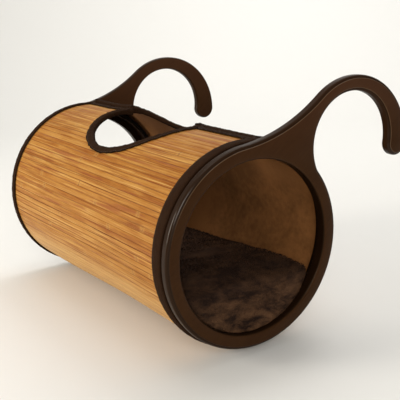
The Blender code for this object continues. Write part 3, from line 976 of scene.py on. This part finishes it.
def edgeBinding(row, label, side, edgeArc, sign, rise):
    # Runs from the oval's edge, under that tape, to the mat's end, under that one.
    s, h = bindingSettings, holeSettings
    across = math.sqrt(1 - (seamArc / h["halfArc"]) ** 2)
    low = holeHalf(side > 0, row == "rear") * across + side * h["shift"] + s["bend"]
    high = matSettings["endX"] - s["bend"]

    def station(share):
        x = side * (low + (high - low) * share)
        return lambda past, level: matPoint(x, edgeArc + sign * past, level, rise)

    return bindingPiece(f"{row}_edge_binding_{label}", station, s["edgeSteps"], s["edge"])


def seamTurn(outwards, arc, rear, right):
    # Where the seam's line meets the oval, on its right or its left.
    low, high = 0, math.pi / 2
    for _ in range(30):
        middle = (low + high) / 2
        turn = middle if right else math.pi - middle
        if holePoint(turn, outwards, rear)[1] < arc:
            low = middle
        else:
            high = middle
    return low if right else math.pi - low


def holeBinding(row, rise):
    s, front = bindingSettings, row == "front"
    arc = seamArc + (-0.0002 if front else 0.0002)

    def station(share):
        def place(past, level):
            start, end = [seamTurn(-past, arc, not front, right) for right in (True, False)]
            if front:
                start, end = end, 2 * math.pi + start
            x, around = holePoint(start + (end - start) * share, -past, not front)
            return matPoint(x, around, level, rise)
        return place

    return bindingPiece(f"hole_binding_{row}", station, s["holeSteps"], s["hole"], True,
                        s["holeTurnIn"])


for label, side in ends:
    endBinding(label, side)
    edgeBinding("front", label, side, frontEdge, 1, frontRise)
    edgeBinding("rear", label, side, rearEdge, -1, rearRise)
holeBinding("rear", rearRise)
holeBinding("front", frontRise)
print("bindings made")


# Rows of stitches
stitchSettings = {"pitch": 0.0034, "length": 0.0026, "width": 0.00055, "height": 0.000546}


def stitchTree():
    s = stitchSettings
    edges = newTree("stitches")
    pitch = treeInput("Pitch", "Float", s["pitch"])
    size = treeInput("Size", "Vector", (s["length"], s["width"], s["height"]))
    line = addNode("GeometryNodeMeshToCurve", [edges])
    points = addNode("GeometryNodeResampleCurve", {"Curve": line, "Length": pitch}, mode="LENGTH")
    ball = addNode("GeometryNodeMeshIcoSphere", {"Radius": 0.5, "Subdivisions": 2})
    along = facing(addNode("GeometryNodeInputTangent"), "X")
    return treeEnd(placed(points, ball, along, size), threadCord)


def stitchRow(name, points, tree):
    mesh = bpy.data.meshes.new(name)
    mesh.from_pydata(points, [(i, i + 1) for i in range(len(points) - 1)], [])
    row = grow(newObject(name.replace("binding", "stitches"), mesh), tree)
    row.data.shade_smooth()
    return finishPiece(row, threadCord)


stitchGrowth = stitchTree()
stitchPieces = [stitchRow(name, points, stitchGrowth) for name, points in stitchLines.items()]
print("stitches", sum(len(piece.data.polygons) for piece in stitchPieces), "faces")


# Closing flaps under the seam
flapSettings = {
    "level": -0.0051, "thickness": 0.001, "reach": 0.034, "fromX": 0.1180, "toX": 0.2120,
    "step": 0.004, "wave": 0.0003,
}


def flapRise(x, angle):
    m = matSettings
    share = (angle - m["seam"]) * m["radius"] / flapSettings["reach"]
    return frontRise(x, m["seam"]) + (rearRise(x, angle) - flare(x, angle)) * ease(share)


def closingFlap(label, side):
    s = flapSettings
    flap = clothStrip(f"closing_flap_cloth_{label}", sorted((side * s["fromX"], side * s["toX"])),
                      (seamArc - s["reach"], seamArc + s["reach"]),
                      s["level"] - s["thickness"] / 2, s["thickness"], s["step"], flapRise,
                      s["wave"])
    return finishPiece(flap, twillTape, [f"closing_flap_{label}"])


flaps = [closingFlap(label, side) for label, side in ends]


# Cushion
cushionSettings = {
    "halfX": 0.248, "endRound": 0.014, "endShare": 0.88, "endShift": 0.0108, "radius": 0.1187,
    "topDepth": 0.052, "crown": 0.006, "edge": 0.008, "sag": 0.011, "sagX": -0.12,
    "waist": 0.003, "roundSteps": 40, "edgeSteps": 8, "topSteps": 24, "endSteps": 10,
    "lengthSteps": 40, "grow": 0.004, "voxel": 0.0055, "frames": 20, "cap": 0.007,
    "cloth": {"quality": 5, "mass": 0.25, "tension_stiffness": 12, "compression_stiffness": 12,
              "bending_stiffness": 0.6, "use_pressure": True, "uniform_pressure_force": 4.0},
    "dents": 0.0032, "dimples": 0.0012, "pileRoom": 0.0006, "endRoom": 0.001,
}


def cushionOutline(scale, bow, extra):
    s = cushionSettings
    radius, corner = s["radius"] + extra, s["edge"]
    cornerZ = -s["topDepth"] - s["sag"] * bow - corner + extra
    cornerY = math.sqrt((radius - corner) ** 2 - cornerZ ** 2)
    low = math.atan2(cornerZ, cornerY)
    points = arcRun((0, 0), radius, -math.pi - low, low, s["roundSteps"])
    points += arcRun((cornerY, cornerZ), corner, low, math.pi / 2, s["edgeSteps"])
    for i in range(s["topSteps"]):
        share = 1 - 2 * i / s["topSteps"]
        points.append((cornerY * share, cornerZ + corner + s["crown"] * (1 - share ** 2)))
    points += arcRun((-cornerY, cornerZ), corner, math.pi / 2, math.pi - low, s["edgeSteps"])
    middle = -(radius + s["topDepth"]) / 2
    drawn = 1 - s["waist"] * bow / (cornerY + corner)
    aside = s["endShift"] * (1 - scale) / (1 - s["endShare"])
    return [(y * scale * drawn - aside, middle + (z - middle) * scale) for y, z in points]


def cushionBow(x, full):
    # How far the pad sinks and narrows: most of all left of the middle, not at its ends.
    deepest = cushionSettings["sagX"]
    reach = full - deepest if x > deepest else full + deepest
    return ease(1 - abs(x - deepest) / reach)


def cushionMesh(extra):
    s = cushionSettings
    full = s["halfX"] + extra - s["endRound"]
    stations = []
    for turn in quarter(s["endSteps"])[:-1]:
        share = math.sin(turn) * (1 - s["endShare"]) + s["endShare"]
        stations.append((-full - s["endRound"] * math.cos(turn), share))
    stations += [(-full + 2 * full * share, 1) for share in steps(s["lengthSteps"])]
    stations += [(-x, share) for x, share in reversed(stations[:s["endSteps"]])]
    rows = []
    for x, share in stations:
        outline = cushionOutline(share, cushionBow(x, full), extra)
        rows.append([Vector((x, axisY + y, axisZ + z)) for y, z in outline])
    return loft("cushion_pad", rows)


def inflate(pad):
    # Blows the pad up a little as a closed cloth, and holds every point near where it started.
    s = cushionSettings
    scene = bpy.context.scene
    remesh = pad.modifiers.new("remesh", "REMESH")
    remesh.mode = "VOXEL"
    remesh.voxel_size = s["voxel"]
    applied(pad)
    rest = [vertex.co.copy() for vertex in pad.data.vertices]
    cloth = pad.modifiers.new("cloth", "CLOTH").settings
    for key, value in s["cloth"].items():
        setattr(cloth, key, value)
    cloth.effector_weights.gravity = 0
    scene.frame_start, scene.frame_end = 1, s["frames"]
    for step in range(1, s["frames"] + 1):
        scene.frame_set(step)
    applied(pad)
    for vertex, start in zip(pad.data.vertices, rest):
        moved = vertex.co - start
        if moved.length > s["cap"]:
            vertex.co = start + moved * (s["cap"] / moved.length)
    scene.frame_set(1)


def settle(pad):
    # Keeps the pad inside the opening's circle, and presses soft dents and rolls into its top.
    s = cushionSettings
    limit, endX = s["radius"] - s["pileRoom"], s["halfX"] + s["endRoom"]
    for vertex in pad.data.vertices:
        x, y, z = vertex.co.x, vertex.co.y - axisY, vertex.co.z - axisZ
        dents = noise.noise(Vector((x * 15, y * 19, 2.5))) * s["dents"]
        dents += noise.noise(Vector((x * 42, y * 50, 7.1))) * s["dimples"]
        dents *= 1 - 0.7 * ease((abs(y) - 0.070) / 0.022)
        z += dents * ease((z + s["topDepth"] + 0.03) / 0.03)
        shrink = min(1, limit / max(math.hypot(y, z), limit))
        vertex.co = Vector((max(-endX, min(endX, x)), axisY + y * shrink, axisZ + z * shrink))


def cushion():
    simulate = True
    pad = cushionMesh(cushionSettings["grow"] if simulate else 0)
    if simulate:
        inflate(pad)
    settle(pad)
    pad.modifiers.new("finer", "SUBSURF").levels = 1
    applied(pad)
    pad.data.shade_smooth()
    return finishPiece(pad, plushPile, ["cushion"], body="cushion")


# The cushion's pile: short tufts, strewn over the pad
pileSettings = {
    "density": 210000, "length": 0.0026, "width": 0.0010, "bent": 0.45, "lean": 9.0,
    "flow": 14.0, "shortest": 0.6, "longest": 1.15, "seed": 7,
}


def tuftTemplate():
    # One tuft of pile: a tapered strip that bends over towards its tip.
    s = pileSettings
    bm = bmesh.new()
    rows = []
    for share, width in ((0, 1), (0.55, 0.75)):
        reach, half = s["length"] * share, s["width"] * width / 2
        rows.append([bm.verts.new((reach * s["bent"] * share, y, reach)) for y in (-half, half)])
    tip = bm.verts.new((s["length"] * 0.42, 0, s["length"] * 0.95))
    (a, b), (d, c) = rows
    bm.faces.new((a, b, c, d))
    bm.faces.new((d, c, tip))
    return meshObject("blade_template", bm)


def pileTree():
    s = pileSettings
    mesh = newTree("pile")
    blade, density = treeInput("Blade", "Object"), treeInput("Density", "Float", s["density"])
    seed, lean = treeInput("Seed", "Int", s["seed"]), treeInput("Lean", "Float", s["lean"])
    points, normal = outputs(addNode("GeometryNodeDistributePointsOnFaces", {
        "Mesh": mesh, "Density": density, "Seed": seed}))[:2]
    drift = vectorMaths("SCALE", {0: swirl(s["flow"]), "Scale": lean})
    turned = addNode("FunctionNodeRotateRotation", {
        "Rotation": facing(vectorMaths("ADD", (normal, drift)), "Z"),
        "Rotate By": vector(0, 0, between(0, 2 * math.pi, seed))}, rotation_space="LOCAL")
    size = between(s["shortest"], s["longest"], seed)
    return treeEnd(placed(points, piece(blade), turned, size), plushPile)


def pile(pad):
    cover, template = newObject("cushion_pile", pad.data.copy()), tuftTemplate()
    grow(cover, pileTree(), Blade=template)
    bpy.data.objects.remove(template)
    cover.data.shade_smooth()
    return finishPiece(cover, plushPile, body="cushion")


pad = cushion()
print("cushion", len(pad.data.polygons), "faces")
print("pile", len(pile(pad).data.polygons), "faces")


# CAD pieces that stay, with finer materials
keptMaterials = {"base_rail": darkWood, "hoop_tape": loopTape,
                 "closing_tape": loopTape}
for name, node in nodes.items():
    for start, material in keptMaterials.items():
        if name.startswith(start):
            node.data.materials.clear()
            node.data.materials.append(material)


# Studio
studioSettings = {
    "floor": (0.80, 0.79, 0.76, 1), "specks": (0.77, 0.76, 0.73, 1), "below": 0.0006,
    "near": -3.5, "bend": 1.6, "bendRadius": 1.2, "bendSteps": 15, "height": 3.6, "halfWidth": 5,
    "sky": (0.93, 0.92, 0.88, 1), "skyStrength": 0.35,
}
bedCentre = (0, axisY, axisZ)
# Each light's place, target, width and height, power and tint
lightSettings = {
    "window": ((-0.68, -2.05, 0.36), bedCentre, (0.6, 1.04), 29, (1.0, 0.94, 0.84)),
    "front": ((1.85, -1.22, 0.66), bedCentre, (0.9, 0.9), 21, (1.0, 0.97, 0.93)),
    "top": ((-0.3, -0.3, 1.9), bedCentre, (1.4, 1.4), 12, (1.0, 0.99, 0.97)),
    "backdrop": ((-0.6, 1.2, 2.2), (-2.0, 1.4, 0.4), (1.6, 1.6), 45, (1.0, 1.0, 1.0)),
}
# The photograph's camera: its place, three directions, and focal length in widths of the picture
cameraSettings = {
    "place": (1.00402, -0.75869, 0.126295), "right": (0.5598, 0.8283, -0.0235),
    "down": (0.1989, -0.1618, -0.9666), "ahead": (-0.8044, 0.5364, -0.2553),
    "focal": 759.96 / 400, "sensor": 36,
}


@materialNamed("floor_paint")
def floorPaint():
    grain = noiseAt(placeIn("Object"), 30, 3, 0.5)
    s = studioSettings
    return {"Base Color": blendColours(grain * 0.3, s["floor"], s["specks"]), "Roughness": 0.7}


def makeFloor():
    # A pale sweep: flat under the bed, then rising in a curve far behind it.
    s = studioSettings
    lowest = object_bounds()[0].z - s["below"]
    away, aside = Vector((-0.832, 0.555, 0)), Vector((0.555, 0.832, 0))
    bend, radius = s["bend"], s["bendRadius"]
    profile = [(s["near"], 0)]
    profile += [(bend + radius * math.sin(turn), radius - radius * math.cos(turn))
                for turn in quarter(s["bendSteps"])]
    profile.append((bend + radius, s["height"]))
    bm = bmesh.new()
    rows = [[bm.verts.new(away * reach + aside * side + Vector((0, 0, lowest + height)))
             for side in (-s["halfWidth"], s["halfWidth"])] for reach, height in profile]
    for low, high in zip(rows, rows[1:]):
        bm.faces.new((low[0], low[1], high[1], high[0]))
    floor = meshObject("studio_floor", bm)
    floor.data.materials.append(floorPaint)


def softLight(name, place, target, size, power, tint):
    light = bpy.data.lights.new(name, "AREA")
    light.shape = "RECTANGLE"
    light.size, light.size_y = size
    light.energy = power
    light.color = tint
    obj = newObject(name, light)
    obj.location = place
    aim = Vector(target) - Vector(place)
    obj.rotation_euler = aim.to_track_quat("-Z", "Y").to_euler()


def makeWorld():
    world = bpy.data.worlds.new("studio")
    bpy.context.scene.world = world
    world.use_nodes = True
    background = world.node_tree.nodes["Background"]
    feed(background.inputs, (studioSettings["sky"], studioSettings["skyStrength"]))


def makeCamera():
    s = cameraSettings
    camera = bpy.data.cameras.new("camera")
    camera.sensor_fit = "HORIZONTAL"
    camera.sensor_width = s["sensor"]
    camera.lens = s["focal"] * s["sensor"]
    camera.clip_start = 0.02
    obj = newObject("camera", camera)
    rows = (Vector(s["right"]), -Vector(s["down"]), -Vector(s["ahead"]))
    obj.matrix_world = Matrix.Translation(s["place"]) @ Matrix(rows).transposed().to_4x4()
    bpy.context.scene.camera = obj


makeFloor()
for name, values in lightSettings.items():
    softLight(name, *values)
makeWorld()
makeCamera()
bpy.context.scene.view_settings.view_transform = "Standard"
